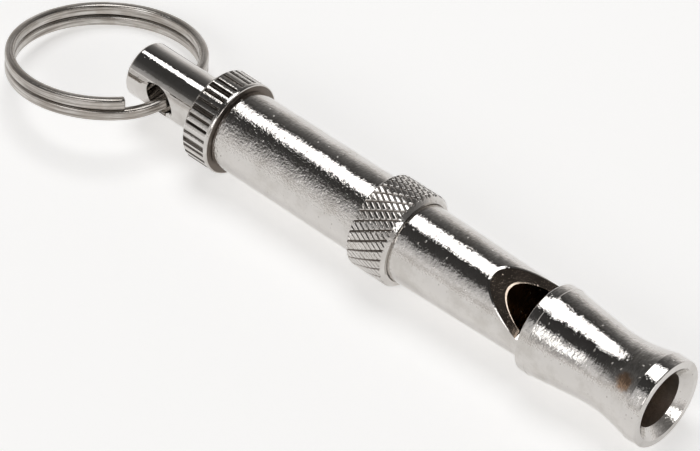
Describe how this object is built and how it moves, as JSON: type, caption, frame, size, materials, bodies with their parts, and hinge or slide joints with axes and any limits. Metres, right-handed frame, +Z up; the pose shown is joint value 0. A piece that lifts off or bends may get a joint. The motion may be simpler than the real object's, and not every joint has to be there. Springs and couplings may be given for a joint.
{
  "type": "training whistle",
  "caption": "Adjustable-pitch metal training whistle: waisted mouthpiece, slanted sound window, knurled collar, lock nut, tuning screw with an eye, and a split ring for a lanyard.",
  "frame": {"origin": "centre of the mouth, on the face of the lip", "axes": "+X along the whistle, out of the mouth; +Z up as the whistle lies on its side, with the eye's hole along Y"},
  "size_m": [0.0979, 0.0243, 0.012],
  "materials": {
    "bright_plate": "bright nickel plate, finely pitted",
    "knurled_plate": "bright nickel plate over knurling",
    "bare_brass": "turned brass",
    "drawn_steel": "drawn wire, satin"
  },
  "bodies": {
    "whistle_body": {"mouthpiece": "bright_plate", "fipple_plug": "bare_brass", "whistle_barrel": "bright_plate", "knurled_collar": "knurled_plate", "rear_sleeve": "bright_plate", "thread_bush": "bare_brass"},
    "tuning_slide": {"tuning_plunger": "bare_brass"},
    "tuning_screw": {"adjusting_screw": "bright_plate"},
    "lock_nut": {"lock_nut": "knurled_plate"},
    "split_ring": {"split_ring": "drawn_steel"}
  },
  "joints": [
    {"name": "tuning_travel", "type": "slide", "parent": "whistle_body", "child": "tuning_slide", "axis": [-1, 0, 0], "range_m": [0, 0.008]},
    {"name": "tuning_turn", "type": "hinge", "parent": "tuning_slide", "child": "tuning_screw", "pos_m": [-0.0752, 0, 0], "axis": [-1, 0, 0], "range_deg": [0, 3600]},
    {"name": "lock_nut_turn", "type": "hinge", "parent": "whistle_body", "child": "lock_nut", "pos_m": [-0.0664, 0, 0], "axis": [-1, 0, 0], "range_deg": [0, 90]},
    {"name": "ring_swing", "type": "hinge", "parent": "tuning_screw", "child": "split_ring", "pos_m": [-0.0752, 0, 0], "axis": [0, 1, 0], "range_deg": [-150, 165]}
  ],
  "couplings": [
    {"joint": "tuning_travel", "follows": "tuning_turn", "m_per_rad": 0.00012732}
  ]
}
